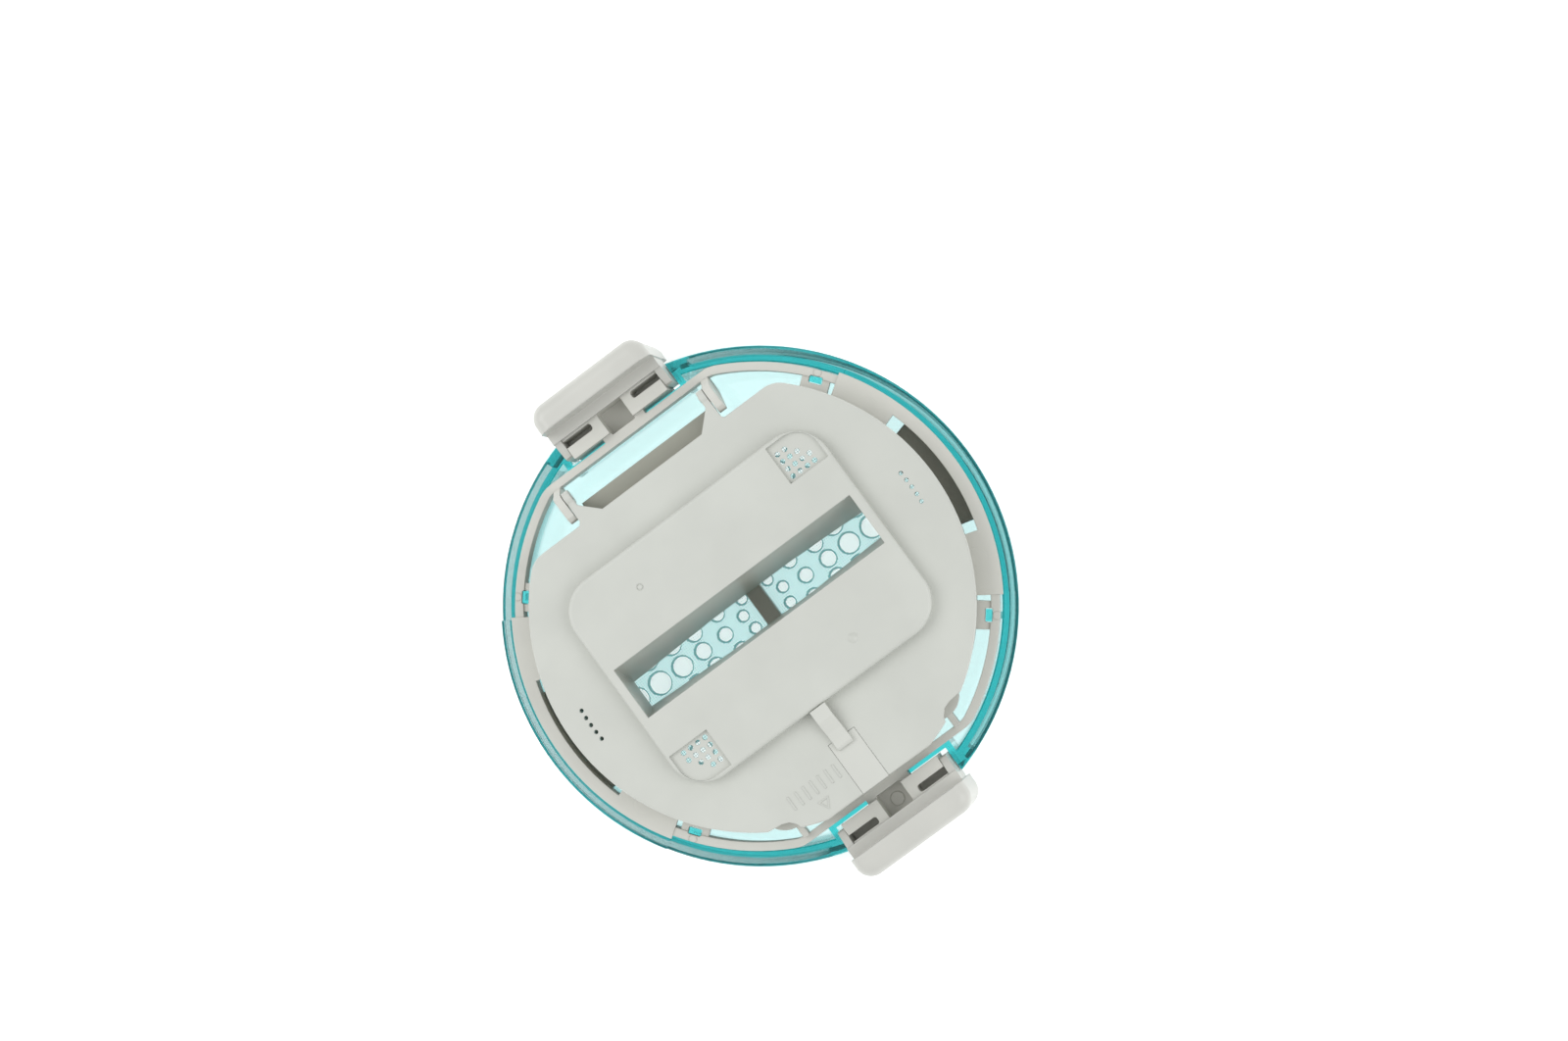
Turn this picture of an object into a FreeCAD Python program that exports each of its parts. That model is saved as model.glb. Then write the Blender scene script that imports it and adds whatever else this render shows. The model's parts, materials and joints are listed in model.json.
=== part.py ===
import FreeCAD, Part
import Sketcher
import math
import os
import re

# Filter canister of a robotic pool cleaner: a clear strainer shell, the light moulded frame and
# debris basket inside it, a hinged inlet door and two sprung side latches.
# Millimetres. Z runs up out of the inlet door, X along the inlet slot, Y towards the door hinge,
# and the strainer floor stands on z = 0.

doc = FreeCAD.newDocument("pool_filter_canister")

# ---------------------------------------------------------------- driving dimensions
TABLE = [
    ("shell_radius", 118.2, "strainer shell, outer radius at the floor"),
    ("rim_outer", 120.0, "strainer shell, outer radius at the rim"),
    ("shell_height", 28.0, "strainer shell, height of the rim"),
    ("shell_floor", 2.5, "strainer shell, floor thickness"),
    ("rim_inner", 112.6, "strainer shell, inner radius of the side wall"),
    ("groove_inner", 115.8, "rim groove, inner radius"),
    ("groove_outer", 118.6, "rim groove, outer radius at the rim"),
    ("groove_low", 8.0, "rim groove, bottom"),
    ("arc_height", 32.0, "raised rim arcs beside the flanges, top"),
    ("bay_half", 31.2, "latch bay, half width"),
    ("bay_back", 103.3, "latch bay, outer face of its back wall"),
    ("bay_wall", 3.2, "latch bay walls"),
    ("hole_flare", 1.15, "floor holes, how far they open towards the inside"),
    ("hook_radius", 107.0, "snap hooks, radius of their circle"),
    ("hook_low", 18.0, "snap hooks, underside of their ribs"),
    ("hook_top", 37.6, "snap hooks, top"),
    ("rail_radius", 109.9, "frame rail, centre radius"),
    ("rail_width", 4.0, "frame rail, width"),
    ("rail_low", 29.0, "frame rail, underside"),
    ("rail_top", 38.0, "frame rail, top"),
    ("chord_mid", 99.6, "straight rails, distance from the axis"),
    ("chord_width", 3.7, "straight rails, width"),
    ("flange_radius", 113.6, "side flanges, outer radius"),
    ("flange_inner", 100.0, "side flanges, inner radius"),
    ("flange_low", 36.2, "side flanges, underside"),
    ("flange_top", 38.6, "side flanges, top"),
    ("arc_slot_radius", 107.6, "arc slots in the flanges, outer radius"),
    ("block_half", 26.8, "latch block, half width"),
    ("block_inner", 103.6, "latch block, inner face"),
    ("block_outer", 117.0, "latch block, outer face"),
    ("block_low", 17.0, "latch block, underside"),
    ("block_top", 42.0, "latch block, top"),
    ("web_half", 11.6, "web from the straight rail to the block, half width"),
    ("pocket_half", 6.75, "square pocket, half width"),
    ("pocket_inner", 102.6, "square pocket, inner side"),
    ("pocket_outer", 114.4, "square pocket, outer side"),
    ("pocket_floor", 30.0, "square pocket, floor"),
    ("slot_inner", 109.6, "block slots, inner side"),
    ("slot_outer", 113.2, "block slots, outer side"),
    ("basket_radius", 99.6, "debris basket, outer radius"),
    ("basket_wall", 2.0, "debris basket, wall"),
    ("basket_hinge_side", 75.0, "debris basket, flat on the hinge side"),
    ("basket_catch_side", 84.0, "debris basket, flat on the catch side"),
    ("basket_low", 5.6, "debris basket, lower edge"),
    ("basket_top", 50.6, "debris basket, upper edge"),
    ("collar_radius", 101.4, "basket collar on the flanges, outer radius"),
    ("shelf_half", 36.0, "shelf between the hinge arms, half width"),
    ("shelf_edge", 85.0, "shelf between the hinge arms, outer edge"),
    ("shelf_top", 44.0, "shelf between the hinge arms, top"),
    ("lug_radius", 109.8, "basket side lugs, outer radius"),
    ("screen_low", 2.5, "screen frame, underside"),
    ("screen_top", 5.0, "screen frame, top"),
    ("screen_rim", 8.0, "screen frame, rim width"),
    ("bar_width", 7.6, "screen frame crossbar, width"),
    ("bar_top", 8.2, "screen frame crossbar, top"),
    ("mesh_thick", 0.6, "filter screen, thickness"),
    ("door_radius", 102.4, "door plate, radius"),
    ("door_low", 51.0, "door plate, underside"),
    ("door_top", 53.6, "door plate, top"),
    ("door_hinge_side", 76.3, "door plate, straight edge at the hinge"),
    ("door_catch_side", 98.3, "door plate, straight edge at the catch"),
    ("plateau_long", 142.4, "raised centre of the door, length"),
    ("plateau_short", 109.0, "raised centre of the door, width"),
    ("plateau_corner", 17.5, "raised centre of the door, corner radius"),
    ("plateau_top", 60.0, "raised centre of the door, top"),
    ("plateau_skin", 2.4, "raised centre of the door, wall"),
    ("slot_long", 133.5, "inlet slot, length"),
    ("slot_short", 26.7, "inlet slot, width"),
    ("duct_long", 140.0, "inlet duct mouth inside, length"),
    ("duct_short", 14.0, "inlet duct mouth inside, width at its ends"),
    ("duct_middle", 17.4, "inlet duct mouth inside, width at its middle"),
    ("duct_low", 12.0, "inlet duct, inner end"),
    ("duct_skin", 1.6, "inlet duct, wall"),
    ("grille_x", 48.4, "corner grilles, inner edge along the slot"),
    ("grille_y", 33.1, "corner grilles, inner edge across the slot"),
    ("grille_deep", 1.6, "corner grilles, depth below the face"),
    ("grille_hole", 1.25, "corner grille holes, radius"),
    ("vent_hole", 1.0, "side vent holes, radius"),
    ("vent_radius", 91.1, "side vent holes, distance from the axis"),
    ("hinge_y", 89.6, "door hinge axis"),
    ("hinge_z", 50.8, "door hinge axis, height"),
    ("hinge_boss", 3.7, "door hinge arm ends, radius"),
    ("arm_inner", 36.9, "door hinge arms, inner face"),
    ("arm_outer", 40.3, "door hinge arms, outer face"),
    ("post_inner", 40.7, "hinge posts, inner face"),
    ("post_outer", 44.5, "hinge posts, outer face"),
    ("hinge_pin", 1.5, "hinge pins, radius"),
    ("running_gap", 0.06, "radial clearance of a turning pin"),
    ("catch_left", -8.65, "door catch, left side"),
    ("catch_right", 5.7, "door catch, right side"),
    ("catch_start", -71.5, "door catch, inner end of the slide"),
    ("catch_gap", 0.12, "gap round the door catch"),
    ("arm_left", -6.0, "catch finger, left side"),
    ("arm_right", 2.3, "catch finger, right side"),
    ("pivot_y", 111.4, "latch pivot, distance from the axis"),
    ("pivot_z", 22.5, "latch pivot, height"),
    ("pivot_pin", 1.5, "latch pivot pins, radius"),
    ("ear_inner", 27.0, "latch ears, inner face"),
    ("ear_outer", 30.6, "latch ears, outer face"),
    ("cap_half", 31.2, "latch cap, half width"),
    ("cap_inner", 119.4, "latch cap, inner face"),
    ("cap_outer", 131.7, "latch cap, outer face"),
    ("cap_low", 8.0, "latch cap, lower edge"),
    ("cap_top", 59.4, "latch cap, upper edge"),
    ("cap_corner", 8.0, "latch cap, outer corner radius"),
    ("cap_skin", 2.4, "latch cap, wall"),
    ("spring_radius", 3.2, "latch springs, coil radius"),
    ("spring_wire", 0.45, "latch springs, wire radius"),
    ("spring_z", 35.0, "latch springs, height"),
]
dims = doc.addObject("Spreadsheet::Sheet", "Dims")
line_number = 1
for alias, value, note in TABLE:
    dims.set("A%d" % line_number, note)
    dims.set("B%d" % line_number, "%g" % value)
    dims.setAlias("B%d" % line_number, alias)
    line_number += 1
doc.recompute()
D = {alias: float(dims.get(alias)) for alias, value, note in TABLE}


# ---------------------------------------------------------------- small builders
def bind(thing, prop, text):
    """Tie one property to the sheet: every word in text is an alias."""
    thing.setExpression(prop, re.sub(r"[a-z][a-z_]+", lambda hit: "Dims." + hit.group(0), text))


def box(name, x_from, x_to, y_from, y_to, z_from, z_to):
    solid = doc.addObject("Part::Box", name)
    spans = (("Length", "x", x_from, x_to), ("Width", "y", y_from, y_to), ("Height", "z", z_from, z_to))
    for size, axis, low, high in spans:
        bind(solid, size, "(%s) - (%s)" % (high, low))
        bind(solid, "Placement.Base." + axis, low)
    return solid


def rod(name, radius, x, y, z_from, z_to):
    solid = doc.addObject("Part::Cylinder", name)
    bind(solid, "Radius", radius)
    bind(solid, "Height", "(%s) - (%s)" % (z_to, z_from))
    for axis, text in (("x", x), ("y", y), ("z", z_from)):
        bind(solid, "Placement.Base." + axis, text)
    return solid


def rod_along_x(name, radius, x_from, x_to, y, z):
    solid = rod(name, radius, x_from, y, "0", "1")
    solid.Placement.Rotation = FreeCAD.Rotation(FreeCAD.Vector(0, 1, 0), 90)
    bind(solid, "Height", "(%s) - (%s)" % (x_to, x_from))
    bind(solid, "Placement.Base.z", z)
    return solid


def sector(name, radius, z_from, z_to, middle, half):
    """A slice of a disc about the Z axis, centred on the angle middle."""
    solid = rod(name, radius, "0", "0", z_from, z_to)
    solid.Placement.Rotation = FreeCAD.Rotation(FreeCAD.Vector(0, 0, 1), middle - half)
    solid.Angle = 2 * half
    return solid


def fuse(name, *solids):
    joined = doc.addObject("Part::MultiFuse", name)
    joined.Shapes = list(solids)
    joined.Refine = True
    return joined


def cut(name, base, *tools):
    result = doc.addObject("Part::Cut", name)
    result.Base = base
    result.Tool = tools[0] if len(tools) == 1 else fuse(name + "_tools", *tools)
    result.Refine = True
    return result


def common(name, *solids):
    result = doc.addObject("Part::MultiCommon", name)
    result.Shapes = list(solids)
    result.Refine = True
    return result


def profile(name, plane, points, offset=0.0):
    """A closed sketch through the points, on the xy, yz or xz plane at an offset."""
    sketch = doc.addObject("Sketcher::SketchObject", name)
    for index in range(len(points)):
        start = FreeCAD.Vector(points[index][0], points[index][1], 0)
        last = points[(index + 1) % len(points)]
        sketch.addGeometry(Part.LineSegment(start, FreeCAD.Vector(last[0], last[1], 0)))
    for index in range(len(points)):
        sketch.addConstraint(Sketcher.Constraint("Coincident", index, 2, (index + 1) % len(points), 1))
    X, Y, Z = FreeCAD.Vector(1, 0, 0), FreeCAD.Vector(0, 1, 0), FreeCAD.Vector(0, 0, 1)
    turn = {"xy": (X, Y, Z), "yz": (Y, Z, X), "xz": (X, Z, -Y)}[plane]
    sketch.Placement = FreeCAD.Placement(turn[2] * offset, FreeCAD.Rotation(turn[0], turn[1], turn[2], "ZXY"))
    return sketch


def extrude(name, sketch, length):
    solid = doc.addObject("Part::Extrusion", name)
    solid.Base = sketch
    solid.DirMode = "Normal"
    solid.Solid = True
    bind(solid, "LengthFwd", length)
    return solid


def revolve(name, sketch):
    solid = doc.addObject("Part::Revolution", name)
    solid.Source = sketch
    solid.Axis = FreeCAD.Vector(0, 0, 1)
    solid.Angle = 360
    solid.Solid = True
    return solid


def round_edges(name, base, radius, wanted):
    """Fillet the edges for which wanted(edge) holds."""
    doc.recompute()
    chosen = [i + 1 for i, edge in enumerate(base.Shape.Edges) if wanted(edge)]
    fillet = doc.addObject("Part::Fillet", name)
    fillet.Base = base
    fillet.Edges = [(i, radius, radius) for i in chosen]
    return fillet


def flat_at(edge, height, slack=0.05):
    """True when the whole edge lies at this height."""
    bounds = edge.BoundBox
    return abs(bounds.ZMin - height) < slack and abs(bounds.ZMax - height) < slack


def upright(edge):
    bounds = edge.BoundBox
    return bounds.XLength < 0.01 and bounds.YLength < 0.01


def rounded_block(name, long, short, corner, z_from, z_to):
    """A block centred on the Z axis with rounded upright corners."""
    body = box(name + "_core", "-(%s)/2" % long, "(%s)/2" % long, "-(%s)/2" % short, "(%s)/2" % short,
               z_from, z_to)
    doc.recompute()
    fillet = doc.addObject("Part::Fillet", name)
    fillet.Base = body
    fillet.Edges = [(i + 1, corner, corner) for i, edge in enumerate(body.Shape.Edges) if upright(edge)]
    return fillet


def mirrored(name, source, normal):
    """A copy mirrored through the plane with this normal."""
    twin = doc.addObject("Part::Mirroring", name)
    twin.Source = source
    twin.Normal = FreeCAD.Vector(*normal)
    twin.Base = FreeCAD.Vector(0, 0, 0)
    return twin


def turned(name, solid, angle):
    """The same solid turned about the Z axis."""
    holder = doc.addObject("Part::Compound", name)
    holder.Links = [solid]
    holder.Placement = FreeCAD.Placement(FreeCAD.Vector(), FreeCAD.Rotation(FreeCAD.Vector(0, 0, 1), angle))
    return holder


PARTS = {}


def finish(node, solid):
    solid.Label = node
    PARTS[node] = solid


# ---------------------------------------------------------------- strainer shell
# One clear moulding: drafted side wall with a grooved rim, drilled floor, two latch bays and four
# snap hooks.
R = D["shell_radius"]
TOP = D["shell_height"]
shell_outline = [
    (0, 0), (R - 3.4, 0), (R - 1.4, 0.7), (R - 0.4, 2.2), (R, 4.2), (D["rim_outer"], TOP - 0.6),
    (D["rim_outer"] - 0.6, TOP), (D["rim_inner"] + 0.6, TOP), (D["rim_inner"], TOP - 0.6),
    (D["rim_inner"], D["shell_floor"] + 1.6), (D["rim_inner"] - 1.6, D["shell_floor"]), (0, D["shell_floor"]),
]
shell_body = revolve("shell_body", profile("shell_outline", "xz", shell_outline))
shell_bits = [shell_body]
for side, middle in (("right", 0), ("left", 180)):
    outer = sector("arc_outer_" + side, "rim_outer - 0.3", "shell_height - 0.4", "arc_height", middle, 33)
    inner = rod("arc_inner_" + side, "rim_inner + 1.2", "0", "0", "shell_height - 1", "arc_height + 1")
    shell_bits.append(cut("raised_arc_" + side, outer, inner))
for label, sign in (("hinge", 1), ("catch", -1)):
    bay = [(-D["bay_half"] - D["bay_wall"], sign * (D["bay_back"] - D["bay_wall"])),
           (D["bay_half"] + D["bay_wall"], sign * (D["bay_back"] - D["bay_wall"])),
           (D["bay_half"] + D["bay_wall"], sign * 112.9), (-D["bay_half"] - D["bay_wall"], sign * 112.9)]
    shell_bits.append(extrude("bay_lining_" + label, profile("bay_plan_" + label, "xy", bay), "shell_height"))
for count, middle in enumerate((38.5, 141.5, 218.5, 321.5)):
    post = box("hook_post_%d" % count, "hook_radius - 1.4", "hook_radius + 1.4", "0 - 2.8", "2.8", "hook_low",
               "hook_top")
    seat = box("hook_seat_%d" % count, "hook_radius - 1.4", "rim_inner - 1.4", "0 - 1.6", "1.6",
               "hook_low", "rail_low")
    rib = box("hook_rib_%d" % count, "hook_radius - 1.4", "rim_inner + 1", "0 - 1.6", "1.6",
              "hook_low", "rail_low - 3")
    shell_bits.append(turned("snap_hook_%d" % count, fuse("hook_%d" % count, post, seat, rib), middle))
shell_solid = fuse("shell_solid", *shell_bits)
shell_cuts = []
for label, low, high in (("hinge", "bay_back", "bay_back + 40"), ("catch", "0 - bay_back - 40", "0 - bay_back")):
    shell_cuts.append(box("latch_bay_" + label, "0 - bay_half", "bay_half", low, high, "0 - 1",
                          "arc_height + 1"))
groove_outline = [(D["groove_inner"], D["groove_low"]), (D["groove_inner"] + 1.1, D["groove_low"]),
                  (D["groove_outer"], TOP), (D["groove_outer"], TOP + 8), (D["groove_inner"], TOP + 8)]
groove_ring = revolve("groove_ring", profile("groove_outline", "xz", groove_outline))
for side, middle in (("right", 0), ("left", 180)):
    span = sector("groove_span_" + side, "rim_outer + 5", "groove_low - 1", "arc_height + 1", middle, 70)
    shell_cuts.append(common("rim_groove_" + side, groove_ring, span))
FLOOR_RINGS = [
    (11.8, 9, 2.1, 90.0), (23.6, 14, 2.95, 0.0), (36.7, 24, 3.4, 0.0), (48.9, 26, 4.4, 0.0),
    (62.1, 30, 4.85, 0.0), (75.2, 36, 4.85, 0.0),
]
HOLES_HINGE_SIDE = D["basket_hinge_side"] - D["screen_rim"] - 4.0
HOLES_CATCH_SIDE = -D["basket_catch_side"] + D["screen_rim"] + 4.0
for ring, (radius, count, hole, first) in enumerate(FLOOR_RINGS):
    drill = doc.addObject("Part::Feature", "drills_%d" % ring)
    pins = []
    for step in range(count):
        angle = math.radians(first + 360.0 * step / count)
        foot = FreeCAD.Vector(radius * math.cos(angle), radius * math.sin(angle), -0.5)
        if foot.y + hole > HOLES_HINGE_SIDE or foot.y - hole < HOLES_CATCH_SIDE:
            continue
        pins.append(Part.makeCone(hole, hole + D["hole_flare"], D["shell_floor"] + 0.6, foot))
    drill.Shape = Part.Compound(pins)
    shell_cuts.append(drill)
strainer = shell_solid
for index, tool in enumerate(shell_cuts):
    strainer = cut("strainer_step_%d" % index, strainer, tool)
finish("strainer_shell", strainer)

# ---------------------------------------------------------------- filter frame
# A ring rail cut straight at the latches, side flanges, snap pads, latch blocks and hinge posts.
rail_disc = rod("rail_disc", "rail_radius + rail_width/2", "0", "0", "rail_low", "rail_top")
rail_box = box("rail_box", "0 - 200", "200", "0 - chord_mid - chord_width/2", "chord_mid + chord_width/2",
               "rail_low - 1", "rail_top + 1")
rail_outer = round_edges("rail_outer_round", common("rail_outer", rail_disc, rail_box), 16.0, upright)
hole_disc = rod("hole_disc", "rail_radius - rail_width/2", "0", "0", "rail_low - 1", "rail_top + 1")
hole_box = box("hole_box", "0 - 200", "200", "0 - chord_mid + chord_width/2", "chord_mid - chord_width/2",
               "rail_low - 1", "rail_top + 1")
rail_hole = round_edges("rail_hole_round", common("rail_hole", hole_disc, hole_box), 12.0, upright)
rail = cut("rail", rail_outer, rail_hole)
frame_bits = [rail]
for side, middle in (("right", 0), ("left", 180)):
    outer = sector("flange_outer_" + side, "flange_radius", "flange_low", "flange_top", middle, 33.6)
    inner = rod("flange_hole_" + side, "flange_inner", "0", "0", "flange_low - 1", "flange_top + 1")
    frame_bits.append(cut("flange_" + side, outer, inner))
for count, middle in enumerate((38.5, 141.5, 218.5, 321.5)):
    pad = box("pad_block_%d" % count, "99.9", "110.4", "0 - 6.6", "6.6", "34", "37.2")
    frame_bits.append(turned("snap_pad_%d" % count, pad, middle))
POST_SHAPE = [(97.9, 29.5), (97.9, 37.9), (94.6, 47.5), (93.3, 52.6), (91.6, 54.4), (86.6, 54.4), (81.8, 53.2),
              (79.9, 51.4), (79.3, 48.8), (80.8, 46.2), (90.5, 29.5)]
for label, sign in (("hinge", 1), ("catch", -1)):
    low, high = ("block_inner", "block_outer") if sign > 0 else ("0 - block_outer", "0 - block_inner")
    frame_bits.append(box("block_" + label, "0 - block_half", "block_half", low, high, "block_low", "block_top"))
    low, high = ("chord_mid", "block_inner + 1") if sign > 0 else ("0 - block_inner - 1", "0 - chord_mid")
    frame_bits.append(box("web_" + label, "0 - web_half", "web_half", low, high, "rail_low", "rail_top"))
for label, low, high in (("right", "post_inner", "post_outer"), ("left", "0 - post_outer", "0 - post_inner")):
    start = D["post_inner"] if label == "right" else -D["post_outer"]
    plan = profile("post_side_" + label, "yz", POST_SHAPE, start)
    frame_bits.append(extrude("hinge_post_" + label, plan, "post_outer - post_inner"))
for label, middle in (("right", "42"), ("left", "0 - 42")):
    disc = rod("stop_disc_" + label, "12", middle, "0 - 80.8", "rail_top + 2.6", "rail_top + 5.2")
    clear = box("stop_clear_" + label, "0 - 60", "60", "0 - 120", "0 - basket_catch_side - 0.6", "rail_top", "50")
    frame_bits.append(common("stop_lug_" + label, disc, clear))
    low, high = ("41.2", "44.2") if label == "right" else ("0 - 44.2", "0 - 41.2")
    frame_bits.append(box("stop_web_" + label, low, high, "0 - 98.6", "0 - 88", "rail_top - 4", "rail_top + 3"))
frame_bits.append(box("keeper", "0 - 11", "8.5", "0 - 98.6", "0 - 86.6", "37.3", "39.8"))
frame_solid = fuse("frame_solid", *frame_bits)
frame_cuts = []
for side, middle in (("right", 0), ("left", 180)):
    frame_cuts.append(sector("arc_slot_" + side, "arc_slot_radius", "flange_low - 8", "rail_top + 1",
                             middle, 17.6))
for count, middle in enumerate((38.5, 141.5, 218.5, 321.5)):
    window = box("window_%d" % count, "hook_radius - 1.75", "hook_radius + 1.75", "0 - 3.2", "3.2", "28", "40")
    window = round_edges("window_round_%d" % count, window, 0.9, upright)
    frame_cuts.append(turned("snap_window_%d" % count, window, middle))
    ring = rod("mark_out_%d" % count, "2.1", "rail_radius + 0.6", "0", "rail_top - 0.25", "40")
    core = rod("mark_in_%d" % count, "1.7", "rail_radius + 0.6", "0", "rail_top - 1", "41")
    ring = cut("pin_mark_%d" % count, ring, core)
    frame_cuts.append(turned("pin_mark_turned_%d" % count, ring, middle))
for label, sign in (("hinge", 1), ("catch", -1)):
    low, high = ("pocket_inner", "pocket_outer") if sign > 0 else ("0 - pocket_outer", "0 - pocket_inner")
    pocket = box("pocket_" + label, "0 - pocket_half", "pocket_half", low, high, "pocket_floor", "block_top + 1")
    frame_cuts.append(round_edges("pocket_round_" + label, pocket, 0.9, upright))
    low, high = ("slot_inner", "slot_outer") if sign > 0 else ("0 - slot_outer", "0 - slot_inner")
    for side, first, last in (("right", "web_half", "block_half + 1"),
                              ("left", "0 - block_half - 1", "0 - web_half")):
        groove = box("block_slot_%s_%s" % (label, side), first, last, low, high, "29", "block_top + 1")
        frame_cuts.append(round_edges("block_slot_round_%s_%s" % (label, side), groove, 1.3, upright))
    axle = "pivot_y" if sign > 0 else "0 - pivot_y"
    frame_cuts.append(rod_along_x("pivot_bore_" + label, "pivot_pin", "0 - 40", "40", axle, "pivot_z"))
    seat = doc.addObject("Part::Cylinder", "spring_seat_" + label)
    seat.Placement = FreeCAD.Placement(FreeCAD.Vector(0, sign * (D["block_outer"] - 1.2), D["spring_z"]),
                                       FreeCAD.Rotation(FreeCAD.Vector(1, 0, 0), -90 * sign))
    bind(seat, "Radius", "spring_radius + 0.9")
    bind(seat, "Height", "3")
    frame_cuts.append(seat)
frame_cuts.append(rod_along_x("hinge_bore", "hinge_pin", "0 - 60", "60", "hinge_y", "hinge_z"))
frame_cuts.append(box("keeper_window", "0 - 7.2", "4.0", "0 - 97.4", "0 - 90.4", "36", "41"))
frame = frame_solid
for index, tool in enumerate(frame_cuts):
    frame = cut("frame_step_%d" % index, frame, tool)
boss = rod("pocket_boss", "3.2", "0", "0 - 109.0", "pocket_floor - 0.5", "pocket_floor + 0.5")
frame = fuse("frame_with_boss", frame, boss)
finish("filter_frame", frame)

# ---------------------------------------------------------------- debris basket
# The wall of the debris chamber, flat on both latch sides, hung on the flanges by its collar.
def chamber(name, radius, hinge_side, catch_side, low, high):
    disc = rod(name + "_disc", radius, "0", "0", low, high)
    block = box(name + "_block", "0 - 150", "150", "0 - (%s)" % catch_side, hinge_side, low, high)
    return common(name, disc, block)


basket_outer = chamber("basket_outer", "basket_radius", "basket_hinge_side", "basket_catch_side",
                       "basket_low", "basket_top")
basket_inner = chamber("basket_inner", "basket_radius - basket_wall", "basket_hinge_side - basket_wall",
                       "basket_catch_side - basket_wall", "basket_low - 1", "basket_top + 1")
basket_bits = [basket_outer]
collar = chamber("collar", "collar_radius", "basket_hinge_side", "basket_catch_side",
                 "flange_top", "flange_top + 1.8")
basket_bits.append(collar)
basket_bits.append(box("shelf", "0 - shelf_half", "shelf_half", "basket_hinge_side - 1", "shelf_edge",
                       "shelf_top - 2.2", "shelf_top"))
for side, middle in (("right", 0), ("left", 180)):
    basket_bits.append(sector("lug_" + side, "lug_radius", "21", "27", middle, 14.6))
basket = cut("basket", fuse("basket_solid", *basket_bits), basket_inner)
finish("debris_basket", basket)

# ---------------------------------------------------------------- screen frame and filter screens
# A flat grey frame under the basket with a crossbar; the two fine screens are held on top of it.
screen_outer = chamber("screen_outer", "basket_radius - 2.4", "basket_hinge_side - 2.4",
                       "basket_catch_side - 2.4", "screen_low", "screen_top")
screen_inner = chamber("screen_inner", "basket_radius - 2.4 - screen_rim",
                       "basket_hinge_side - 2.4 - screen_rim", "basket_catch_side - 2.4 - screen_rim",
                       "screen_low - 1", "screen_top + 1")
crossbar = box("crossbar", "0 - bar_width/2", "bar_width/2", "0 - basket_catch_side + 4",
               "basket_hinge_side - 4", "screen_low", "bar_top")
screen_ring = cut("screen_ring", screen_outer, screen_inner)
finish("screen_frame", fuse("screen_frame_solid", screen_ring, crossbar))
for side, first, last in (("right", "bar_width/2 + 0.1", "150"), ("left", "0 - 150", "0 - bar_width/2 - 0.1")):
    sheet_disc = chamber("sheet_" + side, "basket_radius - 2.6", "basket_hinge_side - 2.6",
                         "basket_catch_side - 2.6", "screen_top", "screen_top + mesh_thick")
    side_box = box("sheet_half_" + side, first, last, "0 - 150", "150", "screen_top - 1", "screen_top + 2")
    finish("filter_screen_" + side, common("screen_" + side, sheet_disc, side_box))

# ---------------------------------------------------------------- door plate
# One moulding: plate, raised centre, two corner grilles, side vents and the two hinge arms.
plate_disc = rod("plate_disc", "door_radius", "0", "0", "door_low", "door_top")
plate_box = box("plate_box", "0 - 150", "150", "0 - door_catch_side", "door_hinge_side",
                "door_low - 1", "door_top + 1")
plate = round_edges("plate_round", common("plate", plate_disc, plate_box), 13.0,
                    lambda edge: upright(edge) and edge.BoundBox.YMin > 0)
door_bits = [round_edges("plate_soft", plate, 0.7, lambda edge: flat_at(edge, D["door_top"]))]
for label, sign in (("right", 1), ("left", -1)):
    arm_plan = [(sign * 27.0, 72.0), (sign * 28.5, D["door_hinge_side"]), (sign * 35.9, 83.6),
                (sign * D["arm_inner"], 84.8), (sign * D["arm_inner"], D["hinge_y"]),
                (sign * D["arm_outer"], D["hinge_y"]), (sign * D["arm_outer"], 77.8),
                (sign * 41.5, D["door_hinge_side"]), (sign * 43.0, 72.0)]
    door_bits.append(extrude("arm_root_" + label, profile("arm_plan_" + label, "xy", arm_plan, D["door_low"]),
                             "door_top - door_low"))
    low, high = ("arm_inner", "arm_outer") if sign > 0 else ("0 - arm_outer", "0 - arm_inner")
    door_bits.append(rod_along_x("arm_end_" + label, "hinge_boss", low, high, "hinge_y", "hinge_z"))
plateau = rounded_block("plateau", "plateau_long", "plateau_short", D["plateau_corner"],
                        "door_low", "plateau_top")
door_bits.append(round_edges("plateau_soft", plateau, 1.7, lambda edge: flat_at(edge, D["plateau_top"])))
ARROW = [(-27.85, -89.5), (-24.9, -94.8), (-21.95, -89.5)]
ARROW_INSIDE = [(-26.85, -90.1), (-24.9, -93.6), (-22.95, -90.1)]
arrow = extrude("arrow_outside", profile("arrow_plan", "xy", ARROW, D["door_top"] - 0.3), "0.6")
arrow_hole = extrude("arrow_inside", profile("arrow_hole_plan", "xy", ARROW_INSIDE, D["door_top"] - 1), "2")
door_bits.append(cut("arrow_mark", arrow, arrow_hole))
for count in range(7):
    start = 38.1 - 4.2 * count
    door_bits.append(box("grip_%d" % count, "0 - %g" % start, "1 - %g" % start, "0 - 86.2", "0 - 79.4",
                         "door_top - 0.3", "door_top + 0.3"))
door_solid = fuse("door_solid", *door_bits)
door_cuts = []
hollow = rounded_block("plateau_hollow", "(plateau_long - 2*plateau_skin)", "(plateau_short - 2*plateau_skin)",
                       D["plateau_corner"] - D["plateau_skin"], "door_low - 1", "plateau_top - plateau_skin")
door_cuts.append(hollow)
door_cuts.append(box("inlet_slot", "0 - slot_long/2", "slot_long/2", "0 - slot_short/2", "slot_short/2",
                     "door_low", "plateau_top + 1"))
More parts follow.
